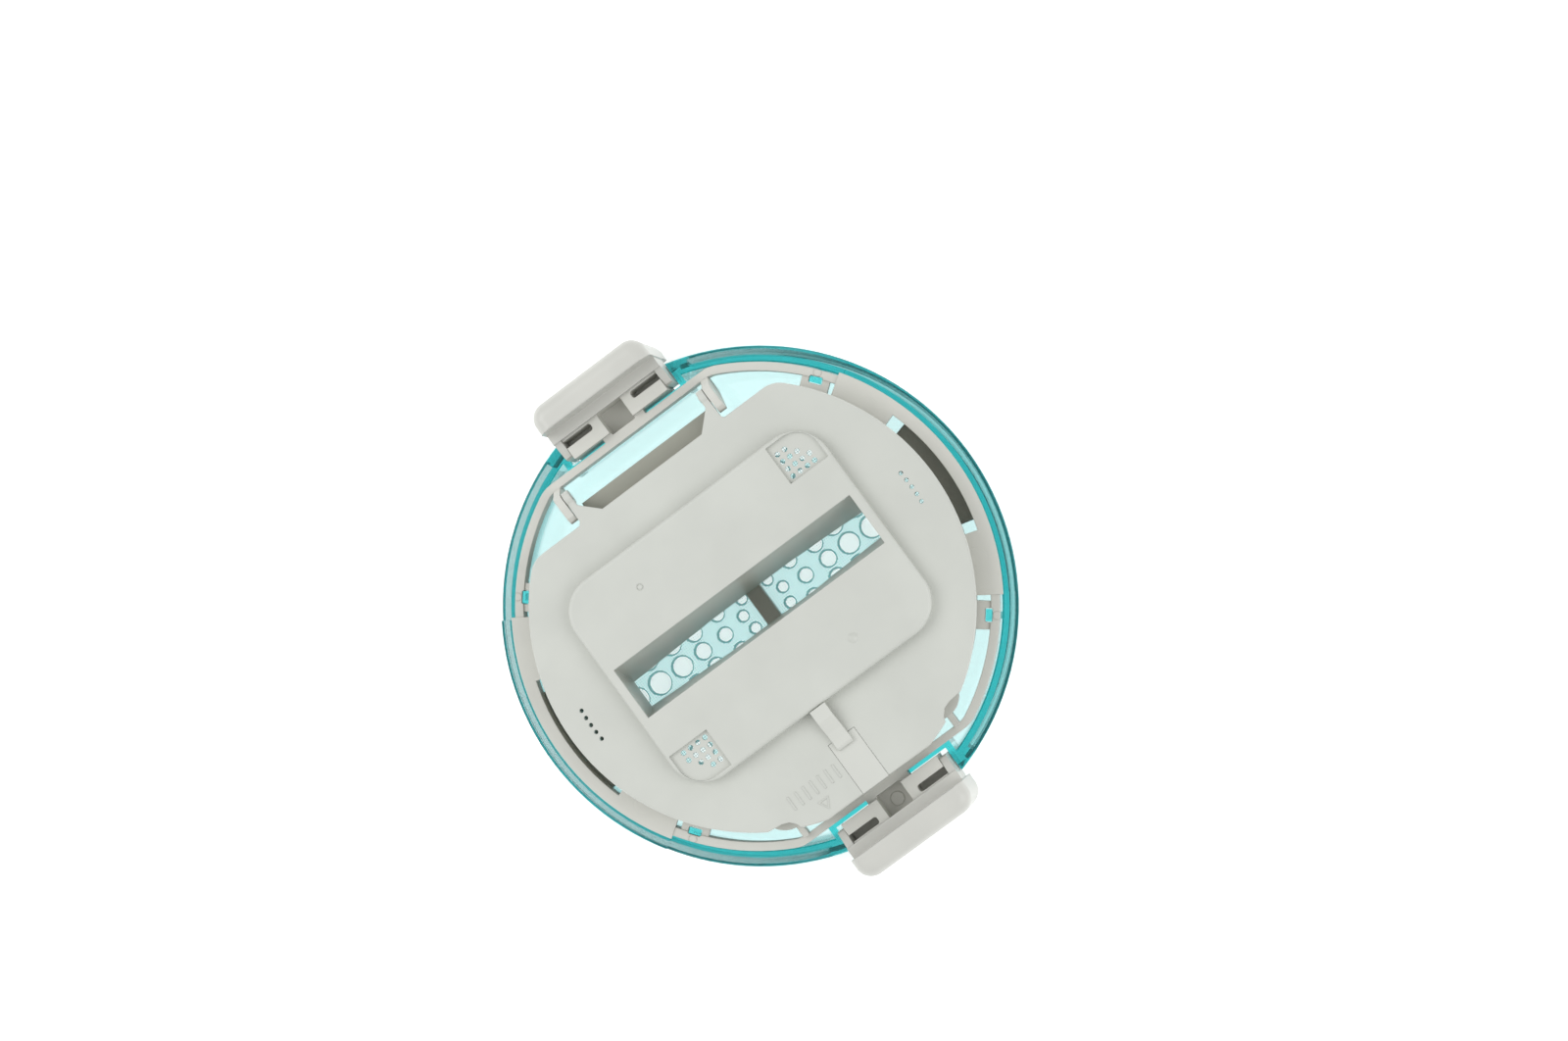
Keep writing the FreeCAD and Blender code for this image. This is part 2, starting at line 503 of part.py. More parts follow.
for label, sign in (("right", 1), ("left", -1)):
    x_low, x_high = ("grille_x", "grille_x + 21") if sign > 0 else ("0 - grille_x - 21", "0 - grille_x")
    y_low, y_high = ("grille_y", "grille_y + 19.6") if sign > 0 else ("0 - grille_y - 19.6", "0 - grille_y")
    recess = box("grille_recess_" + label, x_low, x_high, y_low, y_high,
                 "plateau_top - grille_deep", "plateau_top + 1")
    doc.recompute()
    corner = [i + 1 for i, edge in enumerate(recess.Shape.Edges)
              if upright(edge) and edge.BoundBox.XMin * sign > 60 and edge.BoundBox.YMin * sign > 45]
    soft = doc.addObject("Part::Fillet", "grille_corner_" + label)
    soft.Base = recess
    soft.Edges = [(corner[0], 12.4, 12.4)]
    door_cuts.append(soft)
    drills = doc.addObject("Part::Feature", "grille_drills_" + label)
    pins = []
    for row, filled in enumerate((4, 4, 3, 2)):
        for column in range(filled):
            foot = FreeCAD.Vector(sign * (51.2 + 4.03 * column), sign * (35.5 + 4.02 * row),
                                  D["plateau_top"] - 4)
            pins.append(Part.makeCylinder(D["grille_hole"], 5, foot))
    drills.Shape = Part.Compound(pins)
    door_cuts.append(drills)
    vents = doc.addObject("Part::Feature", "vent_drills_" + label)
    pins = []
    for step in range(-2, 3):
        angle = 3.93 * step / D["vent_radius"]
        foot = FreeCAD.Vector(sign * D["vent_radius"] * math.cos(angle), D["vent_radius"] * math.sin(angle),
                              D["door_low"] - 1)
        pins.append(Part.makeCylinder(D["vent_hole"], 5, foot))
    vents.Shape = Part.Compound(pins)
    door_cuts.append(vents)
    notch_plan = [(sign * 38.3, -110), (sign * 38.3, -98.0), (sign * 39.6, -96.8), (sign * 41.2, -91.6),
                  (sign * 43.6, -88.9), (sign * 47.0, -87.6), (sign * 54.6, -86.9), (sign * 60, -110)]
    notch_sketch = profile("notch_plan_" + label, "xy", notch_plan, D["door_low"] - 1)
    door_cuts.append(extrude("notch_" + label, notch_sketch, "8"))
door_cuts.append(box("catch_way", "catch_left - catch_gap", "catch_right + catch_gap", "0 - 110",
                     "catch_start + catch_gap", "door_low + 1.2", "door_top + 1"))
door_cuts.append(box("leg_way", "0 - 6.7", "3.7", "0 - 97", "0 - 88.1", "door_low - 1", "door_low + 2"))
pip = cut("pip_ring", rod("pip_out", "1.6", "0 - 34.6", "36.6", "plateau_top - 0.3", "plateau_top + 1"),
          rod("pip_in", "1.05", "0 - 34.6", "36.6", "plateau_top - 1", "plateau_top + 2"))
door_cuts.append(pip)
dimple = doc.addObject("Part::Sphere", "dimple")
dimple.Radius = 3.9
dimple.Placement = FreeCAD.Placement(FreeCAD.Vector(30, -39.3, 0), FreeCAD.Rotation())
bind(dimple, "Placement.Base.z", "plateau_top + 3.0")
door_cuts.append(dimple)
door_cuts.append(rod_along_x("arm_bore", "hinge_pin + running_gap", "0 - 50", "50", "hinge_y", "hinge_z"))
door = door_solid
for index, tool in enumerate(door_cuts):
    door = cut("door_step_%d" % index, door, tool)
finish("door_plate", door)

# ---------------------------------------------------------------- inlet duct
# The tapered duct under the slot, seated inside the raised centre.
def funnel(name, grow, low, high):
    loft = doc.addObject("Part::Loft", name)
    rings = []
    for tag, long, short, middle, height in (("mouth", D["duct_long"], D["duct_short"], D["duct_middle"], low),
                                             ("slot", D["slot_long"], D["slot_short"], D["slot_short"], high)):
        x, y, bow = long / 2 + grow, short / 2 + grow, middle / 2 + grow
        ring = [(-x, -y), (-x / 3, -bow), (x / 3, -bow), (x, -y), (x, y), (x / 3, bow), (-x / 3, bow), (-x, y)]
        rings.append(profile(name + "_" + tag, "xy", ring, height))
    loft.Sections = rings
    loft.Solid = True
    loft.Ruled = True
    return loft


duct_top = D["plateau_top"] - D["plateau_skin"]
duct_outer = funnel("duct_outer", D["duct_skin"], D["duct_low"], duct_top)
duct_inner = funnel("duct_inner", 0.0, D["duct_low"] - 0.01, duct_top + 0.01)
duct_rim = box("duct_rim", "0 - slot_long/2 - 1.9", "slot_long/2 + 1.9", "0 - slot_short/2 - 6",
               "slot_short/2 + 6", "plateau_top - plateau_skin - 1.6", "plateau_top - plateau_skin")
duct_solid = fuse("duct_solid", duct_outer, duct_rim)
finish("inlet_duct", cut("duct", duct_solid, duct_inner))

# ---------------------------------------------------------------- door catch
# A finger that starts level with the raised centre, a slide in the plate and a hooked leg below.
finger_side = [(-54.8, 59.8), (-54.8, 57.6), (-60.0, 57.5), (-64.6, 55.4), (-68.2, 54.2), (-71.9, 53.95),
               (-71.9, 53.2), (-75.4, 53.2), (-76.3, 53.9), (-76.2, 54.9), (-75.0, 55.7), (-72.0, 55.9),
               (-67.4, 57.1), (-61.4, 59.7)]
finger_plan = profile("finger_side", "yz", finger_side, D["arm_left"])
finger = extrude("finger", finger_plan, "arm_right - arm_left")
slide = box("slide", "catch_left", "catch_right", "0 - door_catch_side", "catch_start", "door_low + 1.3",
            "door_top")
leg = box("leg", "0 - 6.2", "3.2", "0 - 93.2", "0 - 91.0", "34.6", "door_low + 1.6")
claw = box("claw", "0 - 6.2", "3.2", "0 - 93.2", "0 - 88.6", "34.6", "36.9")
finish("door_catch", fuse("catch", finger, slide, leg, claw))

# ---------------------------------------------------------------- hinge pins
PIN_ENDS = (("right", "arm_inner - 0.4", "post_outer"), ("left", "0 - post_outer", "0 - arm_inner + 0.4"))
for side, first, last in PIN_ENDS:
    finish("hinge_pin_" + side, rod_along_x("pin_" + side, "hinge_pin", first, last, "hinge_y", "hinge_z"))

# ---------------------------------------------------------------- latch levers
# A hollow cap for the thumb, two ears on the pivot and a claw below; the second is its mirror twin.
cap = box("cap_block", "0 - cap_half", "cap_half", "cap_inner", "cap_outer", "cap_low", "cap_top")
cap = round_edges("cap_round", cap, D["cap_corner"],
                  lambda edge: upright(edge) and edge.BoundBox.YMin > D["cap_outer"] - 0.1)
doc.recompute()
cap_soft = doc.addObject("Part::Fillet", "cap_soft")
cap_soft.Base = cap
cap_soft.Edges = [(i + 1, 0.8, 0.8) if edge.BoundBox.YMax < D["cap_inner"] + 0.1 else (i + 1, 6.4, 6.4)
                  for i, edge in enumerate(cap.Shape.Edges) if flat_at(edge, D["cap_top"])]
cap = cap_soft
hollow = box("cap_hollow", "0 - cap_half + cap_skin", "cap_half - cap_skin", "cap_inner - 1",
             "cap_outer - cap_skin", "cap_low + cap_skin", "45")
ears = []
EAR_SIDE = [(106.6, 18.6), (115.6, 18.6), (121.4, 24.0), (121.4, 45.6), (117.6, 45.6), (106.0, 40.4),
            (105.4, 38.6), (105.4, 19.8)]
for side, start in (("right", D["ear_inner"]), ("left", -D["ear_outer"])):
    plan = profile("ear_side_" + side, "yz", EAR_SIDE, start)
    ears.append(extrude("ear_" + side, plan, "ear_outer - ear_inner"))
web = box("lever_web", "0 - ear_outer", "ear_outer", "114", "cap_inner + 2", "43", "45.6")
tooth = box("lever_tooth", "0 - 22", "22", "121.2", "cap_outer - 1", "cap_low", "cap_low + 2.6")
lever_solid = fuse("lever_solid", cut("cap_open", cap, hollow), web, tooth, *ears)
bore = rod_along_x("lever_bore", "pivot_pin + running_gap", "0 - 40", "40", "pivot_y", "pivot_z")
lever = cut("lever", lever_solid, bore)
finish("latch_lever_hinge_side", lever)
finish("latch_lever_catch_side", mirrored("lever_twin", lever, (0, 1, 0)))
pivot = rod_along_x("pivot", "pivot_pin", "0 - ear_outer", "ear_outer", "pivot_y", "pivot_z")
finish("latch_pin_hinge_side", pivot)
finish("latch_pin_catch_side", mirrored("pivot_twin", pivot, (0, 1, 0)))

# ---------------------------------------------------------------- latch springs
# Compression springs between the block and the inside of the cap.
spring_from = D["block_outer"] - 1.1
spring_long = D["cap_outer"] - D["cap_skin"] - 0.1 - spring_from - 2 * D["spring_wire"]
helix = doc.addObject("Part::Helix", "coil_line")
bind(helix, "Radius", "spring_radius")
helix.Height = spring_long
helix.Pitch = spring_long / 5.5
coil_end = doc.addObject("Part::Circle", "coil_section")
bind(coil_end, "Radius", "spring_wire")
coil_end.Placement = FreeCAD.Placement(FreeCAD.Vector(D["spring_radius"], 0, 0),
                                       FreeCAD.Rotation(FreeCAD.Vector(1, 0, 0), 90))
coil = doc.addObject("Part::Sweep", "coil")
coil.Sections = [coil_end]
coil.Spine = (helix, [])
coil.Solid = True
coil.Frenet = True
holder = doc.addObject("Part::Compound", "coil_placed")
holder.Links = [coil]
holder.Placement = FreeCAD.Placement(FreeCAD.Vector(0, spring_from + D["spring_wire"], D["spring_z"]),
                                     FreeCAD.Rotation(FreeCAD.Vector(1, 0, 0), -90))
finish("latch_spring_hinge_side", holder)
finish("latch_spring_catch_side", mirrored("coil_twin", holder, (0, 1, 0)))

# ---------------------------------------------------------------- check and write
doc.recompute()
for item in doc.Objects:
    state = " ".join(item.State)
    if "Invalid" in state or "Error" in state:
        raise RuntimeError("%s: %s" % (item.Name, state))
    if hasattr(item, "Shape") and (item.Shape.isNull() or not item.Shape.isValid()):
        raise RuntimeError("%s has no valid shape" % item.Name)
os.makedirs("parts", exist_ok=True)
for node, solid in PARTS.items():
    shape = solid.Shape
    print("%-26s solids %d  volume %9.1f  z %.2f..%.2f" % (node, len(shape.Solids), shape.Volume,
                                                        shape.BoundBox.ZMin, shape.BoundBox.ZMax))
    shape.exportStep("parts/%s.step" % node)
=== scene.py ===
import json
import math

import bpy
from mathutils import Matrix, Vector

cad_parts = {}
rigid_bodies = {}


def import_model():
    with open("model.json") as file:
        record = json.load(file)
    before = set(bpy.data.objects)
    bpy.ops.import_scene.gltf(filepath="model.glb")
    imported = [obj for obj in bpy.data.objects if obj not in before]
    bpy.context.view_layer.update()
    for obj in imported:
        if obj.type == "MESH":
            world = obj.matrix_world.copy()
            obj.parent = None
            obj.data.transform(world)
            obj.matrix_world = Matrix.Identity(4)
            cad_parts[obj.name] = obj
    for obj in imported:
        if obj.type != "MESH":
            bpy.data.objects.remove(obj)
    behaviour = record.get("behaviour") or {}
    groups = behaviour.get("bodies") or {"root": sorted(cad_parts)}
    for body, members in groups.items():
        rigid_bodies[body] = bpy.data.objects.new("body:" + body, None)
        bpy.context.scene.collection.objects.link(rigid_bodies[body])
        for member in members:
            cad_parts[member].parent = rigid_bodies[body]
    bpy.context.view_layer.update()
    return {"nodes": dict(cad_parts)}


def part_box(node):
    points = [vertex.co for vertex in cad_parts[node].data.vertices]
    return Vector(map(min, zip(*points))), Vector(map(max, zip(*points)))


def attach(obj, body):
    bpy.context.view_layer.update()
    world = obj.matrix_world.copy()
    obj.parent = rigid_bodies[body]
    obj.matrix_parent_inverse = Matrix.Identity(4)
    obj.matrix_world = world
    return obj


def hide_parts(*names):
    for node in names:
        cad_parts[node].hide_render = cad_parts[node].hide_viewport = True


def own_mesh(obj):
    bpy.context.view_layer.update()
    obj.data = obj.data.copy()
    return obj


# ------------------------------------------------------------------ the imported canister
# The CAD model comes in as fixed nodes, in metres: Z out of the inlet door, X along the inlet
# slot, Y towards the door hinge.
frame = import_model()
nodes = frame["nodes"]
MM = 0.001

# ------------------------------------------------------------------ camera
# A long lens looks down the canister's axis from the catch side, turned so that the inlet slot
# climbs to the right.
distance = 1.5
view_width = 722.4 * MM
aim_right = 11.96475 * MM
aim_up = 39.2805 * MM
centre = Vector((0, 0, 28.0 * MM))
look = Vector((math.tan(math.radians(6.8)), -math.tan(math.radians(3.9)), 1)).normalized()
slot_climb = math.radians(36.3)
right = Vector((math.cos(slot_climb), -math.sin(slot_climb), 0))
right = (right - look * right.dot(look)).normalized()
up = look.cross(right)
aim = centre + right * aim_right + up * aim_up
eye = centre + look * distance
back = (eye - aim).normalized()
right = (right - back * right.dot(back)).normalized()
up = back.cross(right)
camera_data = bpy.data.cameras.new("camera")
camera_data.sensor_width = 36
camera_data.lens = camera_data.sensor_width * distance / view_width
camera = bpy.data.objects.new("camera", camera_data)
bpy.context.scene.collection.objects.link(camera)
turn = Matrix((right, up, back)).transposed()
camera.matrix_world = Matrix.Translation(eye) @ turn.to_4x4()
bpy.context.scene.camera = camera
bpy.context.scene.view_settings.view_transform = "Standard"


# ------------------------------------------------------------------ floor and light
# A pale floor that glows a little where the canister stands, like a light table, so that light
# comes up through the clear shell. Two large soft panels and a bright room do the rest.
class Tone:
    """A socket that takes part in sums and products; each one adds a Math node."""

    def __init__(self, tree, socket=None):
        self.tree = tree
        self.socket = socket

    def add(self, kind, settings=None, inputs=None, out=0):
        made = self.tree.nodes.new("ShaderNode" + kind)
        for key, value in (settings or {}).items():
            setattr(made, key, value)
        for key, value in (inputs or {}).items():
            socket = made.inputs[key]
            if isinstance(value, Tone):
                self.tree.links.new(value.socket, socket)
            else:
                socket.default_value = value
        return Tone(self.tree, made.outputs[out])

    def math(self, operation, first, second):
        return self.add("Math", {"operation": operation}, {0: first, 1: second})

    def __add__(self, other):
        return self.math("ADD", self, other)

    __radd__ = __add__

    def __sub__(self, other):
        return self.math("SUBTRACT", self, other)

    def __rsub__(self, other):
        return self.math("SUBTRACT", other, self)

    def __mul__(self, other):
        return self.math("MULTIPLY", self, other)

    __rmul__ = __mul__

    def above(self, low, high):
        """0 below low, 1 above high, straight between."""
        return self.add("MapRange", {"clamp": True}, {0: self, 1: low, 2: high, 3: 0.0, 4: 1.0})

    def between(self, first, second):
        """Colour first where this is 0, second where it is 1."""
        return self.add("Mix", {"data_type": "RGBA"}, {0: self, 6: first, 7: second}, out=2)


def new_material(name):
    material = bpy.data.materials.new(name)
    material.use_nodes = True
    material.node_tree.nodes.clear()
    return material, Tone(material.node_tree)


def close(tones, surface, volume=None):
    """Wire the finished shader to the material's output."""
    output = tones.tree.nodes.new("ShaderNodeOutputMaterial")
    tones.tree.links.new(surface.socket, output.inputs["Surface"])
    if volume:
        tones.tree.links.new(volume.socket, output.inputs["Volume"])


def dress(name, material):
    """Give a CAD node this material all over."""
    slots = nodes[name].data.materials
    if not slots:
        slots.append(material)
    for index in range(len(slots)):
        slots[index] = material


floor_material, t = new_material("floor_paper")
from_middle = t.add("VectorMath", {"operation": "LENGTH"}, {0: t.add("TexCoord", out=3)}, out=1)
glow_edge = (112.0 * MM, 122.0 * MM)
pad = 1.0 - from_middle.above(*glow_edge)
glow = pad.between((0.5, 0.505, 0.5, 1), (0.83, 0.85, 0.845, 1))
paper = t.add("BsdfPrincipled", None, {"Base Color": (0.93, 0.94, 0.935, 1), "Roughness": 0.8,
                                      "Specular IOR Level": 0.1, "Emission Strength": 1.0,
                                      "Emission Color": glow})
close(t, paper)
floor_mesh = bpy.data.meshes.new("floor")
reach = 9.0
drop = -0.4 * MM
floor_mesh.from_pydata([(-reach, -reach, drop), (reach, -reach, drop), (reach, reach, drop),
                        (-reach, reach, drop)], [], [(0, 1, 2, 3)])
floor_mesh.materials.append(floor_material)
floor = bpy.data.objects.new("floor", floor_mesh)
bpy.context.scene.collection.objects.link(floor)

world = bpy.data.worlds.new("bright_room")
world.use_nodes = True
world.node_tree.nodes["Background"].inputs["Color"].default_value = (0.98, 1.0, 1.0, 1)
world.node_tree.nodes["Background"].inputs["Strength"].default_value = 0.72
bpy.context.scene.world = world
for name, place, size, power in (("panel_key", (-0.9, 0.9, 1.5), 1.3, 12),
                                 ("panel_fill", (1.1, -0.9, 1.2), 1.2, 8)):
    lamp = bpy.data.lights.new(name, "AREA")
    lamp.size = size
    lamp.energy = power
    panel = bpy.data.objects.new(name, lamp)
    panel.location = place
    panel.rotation_euler = (-Vector(place)).to_track_quat("-Z", "Y").to_euler()
    bpy.context.scene.collection.objects.link(panel)

# ------------------------------------------------------------------ strainer shell
# The clear teal cup with the drilled floor, injection moulded in one piece. The tint is in the
# plastic, so the rim looks deep teal and the thin floor pale. The hole flares carry painted shade, a
# matte dark teal standing in for the dark rings round the holes; the side wall is a little hazy.
shell_material, t = new_material("clear_teal")
spot = t.add("TexCoord", out=3)
cloud = t.add("TexNoise", None, {"Vector": spot, "Scale": 60.0, "Detail": 3.0})
clear = t.add("BsdfPrincipled", None, {"Base Color": (1, 1, 1, 1), "IOR": 1.49, "Transmission Weight": 1.0,
                                      "Roughness": 0.02 + 0.03 * cloud})
# A matte teal: painted shade on the hole flares, and a thin haze over the side wall.
haze_and_painted_shade_teal = cloud.between((0.01, 0.40, 0.43, 1), (0.03, 0.50, 0.51, 1))
haze_and_painted_shade = t.add("BsdfPrincipled", None, {"Base Color": haze_and_painted_shade_teal, "Roughness": 0.5,
                                     "Specular IOR Level": 0.0})
height = t.add("SeparateXYZ", None, {0: spot}, out=2)
facing_up = t.math("ABSOLUTE", t.add("SeparateXYZ", None, {0: t.add("TexCoord", out=1)}, out=2), 0.0)
steep = (1.0 - facing_up).above(0.35, 0.6)
in_floor = height.above(2.55 * MM, 2.45 * MM)
flat_way = t.add("VectorMath", {"operation": "MULTIPLY"}, {0: spot, 1: (1.0, 1.0, 0.0)})
from_axis = t.add("VectorMath", {"operation": "LENGTH"}, {0: flat_way}, out=1)
drilled = from_axis.above(98.5 * MM, 96.5 * MM)
side_wall = from_axis.above(110.0 * MM, 112.2 * MM)
# Painted shade: most of each hole flare is the matte dark teal, for the dark ring round every hole.
hole_flare_painted_shade = 0.75
wall_haze = 0.22
haze_and_shade_share = hole_flare_painted_shade * (steep * in_floor * drilled) + wall_haze * side_wall
body = t.add("MixShader", None, {0: haze_and_shade_share, 1: clear, 2: haze_and_painted_shade})
tint = t.add("VolumeAbsorption", None, {"Color": (0.0, 0.846, 0.858, 1), "Density": 110.0})
close(t, body, tint)
dress("strainer_shell", shell_material)


# ------------------------------------------------------------------ filter frame
# A ring rail with side flanges, snap pads and latch blocks, injection moulded in light warm grey
# plastic. Its grey is set lighter than the door's, painted light for the flanges that the door
# shades. It drops over the four clear hooks of the strainer, which snap through its windows.
def satin_plastic(name, colour, roughness=0.42, pin_mark=None):
    """Moulded plastic: cloudy tone, fine spark-eroded face, softly rounded edges painted a touch lighter as
    a painted highlight.
    pin_mark is the place where an ejector pin leaves its round line, repeated in all four quadrants."""
    material, t = new_material(name)
    spot = t.add("TexCoord", out=3)
    cloud = t.add("TexNoise", None, {"Vector": spot, "Scale": 26.0, "Detail": 3.0, "Roughness": 0.55})
    speck = t.add("TexNoise", None, {"Vector": spot, "Scale": 1500.0, "Detail": 2.0})
    soft = t.add("Bevel", {"samples": 6}, {"Radius": 0.7 * MM})
    flat = t.add("NewGeometry", out=1)
    agree = t.add("VectorMath", {"operation": "DOT_PRODUCT"}, {0: soft, 1: flat}, out=1)
    # Painted highlight: a mask along the rounded edges, where the rounded normal bends away from the face.
    edge_highlight_mask = (1.0 - agree).above(0.02, 0.3)
    shaded = tuple(0.94 * channel for channel in colour)
    # The painted highlight colour: the edges are painted lighter, standing in for light catching the
    # fillets.
    painted_edge_highlight = tuple(min(1.0, 1.16 * channel + 0.03) for channel in colour)
    tone = cloud.above(0.35, 0.68).between(shaded + (1,), colour + (1,))
    tone = (edge_highlight_mask * 0.7).between(tone, painted_edge_highlight + (1,))
    height = speck
    if pin_mark:
        mark_radius = 4.4 * MM
        quadrant = t.add("VectorMath", {"operation": "ABSOLUTE"}, {0: spot})
        far = t.add("VectorMath", {"operation": "DISTANCE"}, {0: quadrant, 1: pin_mark}, out=1)
        line = t.math("ABSOLUTE", far - mark_radius, 0.0).above(0.35 * MM, 0.1 * MM)
        height = speck - line * 4.0
    face = t.add("Bump", None, {"Strength": 0.14, "Distance": 0.05 * MM, "Height": height, "Normal": soft})
    skin = t.add("BsdfPrincipled", None, {"Base Color": tone, "Roughness": roughness - 0.06 + 0.12 * speck,
                                         "IOR": 1.5, "Normal": face})
    close(t, skin)
    return material


# Painted light: the frame's colour is lifted above the door's grey to brighten its shaded flanges.
dress("filter_frame", satin_plastic("grey_frame", (0.68, 0.675, 0.625), pin_mark=(0.0955, 0.0425, 0.0386)))

# ------------------------------------------------------------------ debris basket
# The wall of the chamber that holds the debris, moulded in grey plastic and hung on the
# frame's side flanges by its collar. Its grey is painted dark, as painted shade for a wall deep inside.
# Painted shade: the basket's grey is set dark for a wall that is seen in shade deep inside.
dress("debris_basket", satin_plastic("grey_basket", (0.36, 0.36, 0.305)))

# ------------------------------------------------------------------ screen frame
# A flat moulded frame with one crossbar, pushed in under the basket to carry the two screens.
# It is the darkest grey, because hardly any light reaches it.
dress("screen_frame", satin_plastic("grey_screen_frame", (0.33, 0.33, 0.28)))

# ------------------------------------------------------------------ filter screens
# Two half discs of fine plain-woven nylon cloth, stretched tight and welded onto the screen frame
# either side of its crossbar. The threads are nearly clear, so light comes up through them.
class Recipe:
    """A Geometry Nodes tree with named inputs, written step by step."""

    def __init__(self, name, inputs):
        self.tree = bpy.data.node_groups.new(name, "GeometryNodeTree")
        face = self.tree.interface
        face.new_socket(name="Geometry", in_out="INPUT", socket_type="NodeSocketGeometry")
        face.new_socket(name="Geometry", in_out="OUTPUT", socket_type="NodeSocketGeometry")
        self.ids = {}
        for label, kind in inputs.items():
            made = face.new_socket(name=label, in_out="INPUT", socket_type="NodeSocket" + kind)
            self.ids[label] = made.identifier
        self.given = self.tree.nodes.new("NodeGroupInput").outputs

    def step(self, kind, settings=None, inputs=None, out=0):
        made = self.tree.nodes.new(kind)
        for key, value in (settings or {}).items():
            setattr(made, key, value)
        for key, value in (inputs or {}).items():
            if isinstance(value, bpy.types.NodeSocket):
                self.tree.links.new(value, made.inputs[key])
            else:
                made.inputs[key].default_value = value
        return made.outputs[out]

    def sum(self, operation, first, second=0.0):
        return self.step("ShaderNodeMath", {"operation": operation}, {0: first, 1: second})

    def both(self, *tests):
        """1 where every one of these tests is 1."""
        result = tests[0]
        for test in tests[1:]:
            result = self.sum("MULTIPLY", result, test)
        return result

    def join(self, *parts):
        node = self.tree.nodes.new("GeometryNodeJoinGeometry")
        for part in parts:
            self.tree.links.new(part, node.inputs[0])
        return node.outputs[0]

    def end(self, shape):
        """Realize Instances and Set Material close every tree."""
        real = self.step("GeometryNodeRealizeInstances", None, {0: shape})
        last = self.step("GeometryNodeSetMaterial", None, {0: real, "Material": self.given["Material"]})
        self.tree.links.new(last, self.tree.nodes.new("NodeGroupOutput").inputs[0])

    def cast(self, name, values):
        """Run the tree with these values and keep the result as a plain mesh object at the origin."""
        piece = bpy.data.objects.new(name, bpy.data.meshes.new(name + "_start"))
        bpy.context.scene.collection.objects.link(piece)
        modifier = piece.modifiers.new(name, "NODES")
        modifier.node_group = self.tree
        for label, value in values.items():
            modifier[self.ids[label]] = value
        graph = bpy.context.evaluated_depsgraph_get()
        mesh = bpy.data.meshes.new_from_object(piece.evaluated_get(graph))
        mesh.name = name
        piece.modifiers.clear()
        piece.data = mesh
        return piece


weave = Recipe("woven_cloth", {"Count": "Int", "Pitch": "Float", "Wire Radius": "Float", "Wave": "Float",
                               "Side": "Float", "Edge Radius": "Float", "Bar Edge": "Float",
                               "Hinge Edge": "Float", "Catch Edge": "Float", "Height": "Float",
                               "Material": "Material"})
pitch = weave.given["Pitch"]
gaps = weave.sum("SUBTRACT", weave.given["Count"], 1.0)
reach_of_row = weave.sum("MULTIPLY", gaps, weave.sum("MULTIPLY", pitch, 0.5))
below = weave.sum("MULTIPLY", reach_of_row, -1.0)
along_x = weave.step("ShaderNodeCombineXYZ", None, {0: pitch})
along_y = weave.step("ShaderNodeCombineXYZ", None, {1: pitch})
from_left = weave.step("ShaderNodeCombineXYZ", None, {0: below})
from_front = weave.step("ShaderNodeCombineXYZ", None, {1: below})
row_x = weave.step("GeometryNodeMeshLine", None,
                   {"Count": weave.given["Count"], "Start Location": from_left, "Offset": along_x})
row_y = weave.step("GeometryNodeMeshLine", None,
                   {"Count": weave.given["Count"], "Start Location": from_front, "Offset": along_y})
place = weave.step("GeometryNodeInputPosition")
x = weave.step("ShaderNodeSeparateXYZ", None, {0: place}, 0)
y = weave.step("ShaderNodeSeparateXYZ", None, {0: place}, 1)
column = weave.sum("ROUND", weave.sum("DIVIDE", x, pitch))
line = weave.sum("ROUND", weave.sum("DIVIDE", y, pitch))
cell = weave.sum("ADD", column, line)
over = weave.sum("SUBTRACT", weave.sum("MULTIPLY", weave.sum("FLOORED_MODULO", cell, 2.0), 2.0), 1.0)
out_from_axis = weave.step("ShaderNodeVectorMath", {"operation": "LENGTH"}, {0: place}, 1)
out_from_bar = weave.sum("MULTIPLY", x, weave.given["Side"])
inside = weave.both(weave.sum("LESS_THAN", out_from_axis, weave.given["Edge Radius"]),
                    weave.sum("GREATER_THAN", out_from_bar, weave.given["Bar Edge"]),
                    weave.sum("LESS_THAN", y, weave.given["Hinge Edge"]),
                    weave.sum("GREATER_THAN", y, weave.given["Catch Edge"]))
wires = []
for row, across, sign in ((row_x, row_y, 1.0), (row_y, row_x, -1.0)):
    strand = weave.step("GeometryNodeMeshToCurve", None, {0: row})
    spread = weave.step("GeometryNodeInstanceOnPoints", None, {"Points": across, "Instance": strand})
    rows = weave.step("GeometryNodeRealizeInstances", None, {0: spread})
    kept = weave.step("GeometryNodeDeleteGeometry", {"domain": "POINT"},
                      {0: rows, 1: weave.sum("SUBTRACT", 1.0, inside)})
    short = weave.sum("LESS_THAN", weave.step("GeometryNodeSplineLength", None, None, 1), 2.5)
    kept = weave.step("GeometryNodeDeleteGeometry", {"domain": "CURVE"}, {0: kept, 1: short})
    rise = weave.sum("ADD", weave.sum("MULTIPLY", over, weave.sum("MULTIPLY", weave.given["Wave"], sign)),
                     weave.given["Height"])
    lifted = weave.step("GeometryNodeSetPosition", None,
                        {0: kept, "Offset": weave.step("ShaderNodeCombineXYZ", None, {2: rise})})
    round_wire = weave.step("GeometryNodeCurvePrimitiveCircle", None,
                            {"Resolution": 4, "Radius": weave.given["Wire Radius"]})
    wires.append(weave.step("GeometryNodeCurveToMesh", None,
                            {"Curve": lifted, "Profile Curve": round_wire, "Fill Caps": True}))
weave.end(weave.join(*wires))

